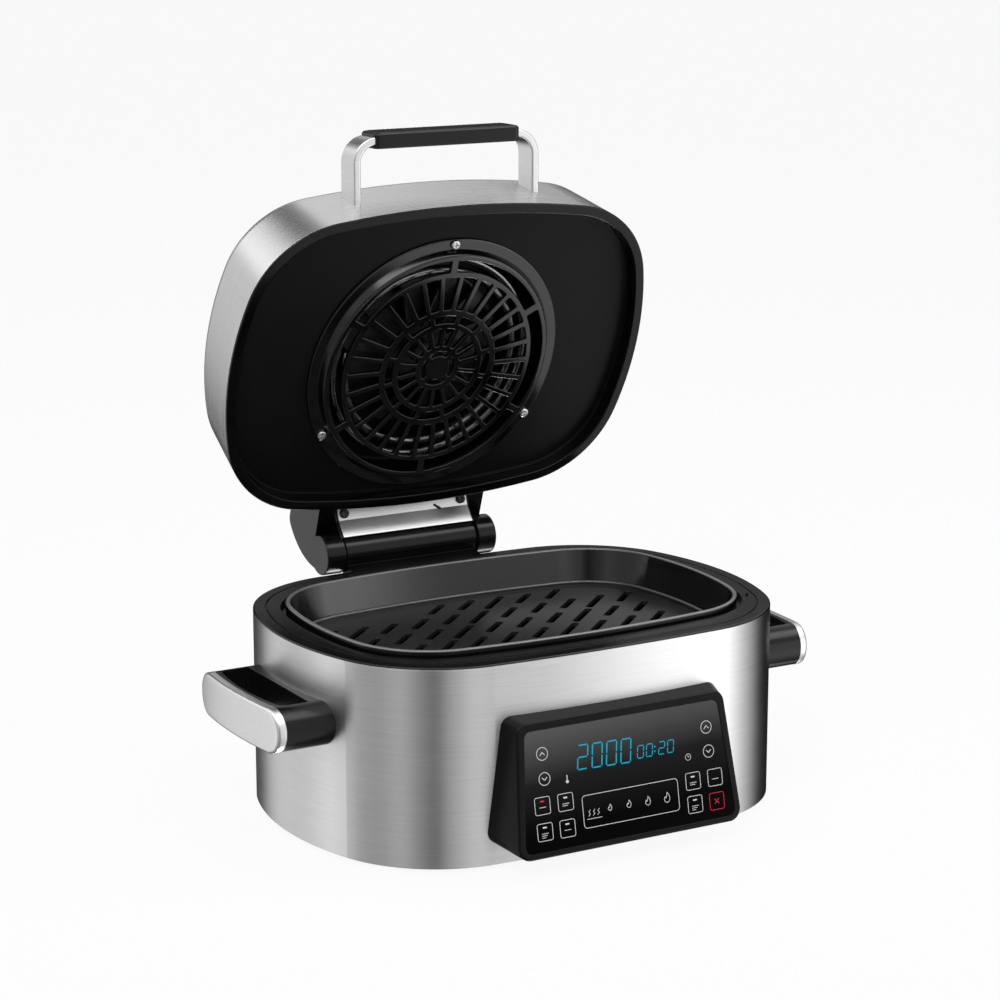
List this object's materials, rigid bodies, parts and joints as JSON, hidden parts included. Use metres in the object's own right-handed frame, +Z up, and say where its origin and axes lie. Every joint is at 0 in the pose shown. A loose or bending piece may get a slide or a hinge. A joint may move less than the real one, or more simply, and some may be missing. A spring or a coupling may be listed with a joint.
{
  "type": "air fryer grill with hinged lid",
  "caption": "Countertop grill cooker: steel oval body, pot with slotted grill plate, front touch panel, side handles, and a hinged lid with fan, heating coil and handle, shown open.",
  "frame": {"origin": "on the worktop, under the middle of the body", "axes": "+X across the width, -Y towards the front with the control panel, +Z up"},
  "size_m": [0.423, 0.3663, 0.4531],
  "materials": {
    "body_steel": "horizontally brushed",
    "lid_steel": "brushed",
    "hinge_steel": "satin",
    "liner_steel": "plain sheet",
    "screw_steel": "zinc plated",
    "screw_black": "blackened",
    "trim_silver": "satin",
    "base_black": "black powder coat",
    "deck_black": "semi gloss",
    "body_black": "fine grain",
    "rim_black": "smooth seal",
    "lid_liner_black": "non-stick coating",
    "guard_black": "non-stick coating",
    "nonstick_black": "non-stick coating",
    "nonstick_plate": "non-stick coating",
    "panel_glass": "polished, tinted nearly black",
    "guide_white": "translucent",
    "board_green": "solder mask",
    "component_black": "moulded",
    "foot_rubber": "matt",
    "gland_rubber": "matt",
    "coil_steel": "heat-tinted sheath",
    "ceramic_white": "unglazed ceramic",
    "motor_steel": "zinc grey",
    "washer_nylon": "nylon",
    "fan_aluminium": "pressed sheet"
  },
  "bodies": {
    "base": {"outer_shell": "body_steel", "base_plate": "base_black", "rubber_feet": "foot_rubber", "base_screws": "screw_steel", "deck_ring": "deck_black", "inner_liner": "liner_steel", "control_housing": "body_black", "control_glass": "panel_glass", "light_guide": "guide_white", "display_board": "board_green", "power_board": "board_green", "power_components": "component_black", "board_standoffs": "screw_steel", "left_handle": "body_black", "right_handle": "body_black", "left_handle_trim": "trim_silver", "right_handle_trim": "trim_silver", "handle_screws": "screw_steel", "hinge_base": "body_black", "hinge_base_screws": "screw_steel", "cord_gland": "gland_rubber"},
    "pot": {"cooking_pot": "nonstick_black"},
    "plate": {"grill_plate": "nonstick_plate"},
    "lid": {"lid_shell": "lid_steel", "lid_rim": "rim_black", "lid_liner": "lid_liner_black", "fan_guard": "guard_black", "guard_screws": "screw_steel", "heating_coil": "coil_steel", "coil_bushes": "ceramic_white", "heat_chamber": "liner_steel", "temperature_probe": "coil_steel", "fan_motor": "motor_steel", "motor_bracket": "liner_steel", "motor_screws": "screw_steel", "lid_rear_cover": "body_black", "hinge_plate": "hinge_steel", "hinge_plate_screws": "screw_black", "hinge_pin": "screw_steel", "hinge_caps": "body_black", "friction_washers": "washer_nylon", "lid_handle_strap": "hinge_steel", "lid_handle_grip": "body_black", "lid_handle_screws": "screw_steel"},
    "fan_rotor": {"fan": "fan_aluminium", "fan_shaft": "screw_steel", "fan_nut": "screw_steel"}
  },
  "joints": [
    {"name": "lid_hinge", "type": "hinge", "parent": "base", "child": "lid", "pos_m": [0, 0.1573, 0.1442], "axis": [1, 0, 0], "range_deg": [0, 70.85]},
    {"name": "fan_spin", "type": "hinge", "parent": "lid", "child": "fan_rotor", "pos_m": [0, 0.13113, 0.2921], "axis": [0, 0.9447, 0.328], "continuous": true},
    {"name": "pot_lift", "type": "slide", "parent": "base", "child": "pot", "axis": [0, 0, 1], "range_m": [0, 0.0035]},
    {"name": "plate_lift", "type": "slide", "parent": "pot", "child": "plate", "axis": [0, 0, 1], "range_m": [0, 0.015]}
  ]
}
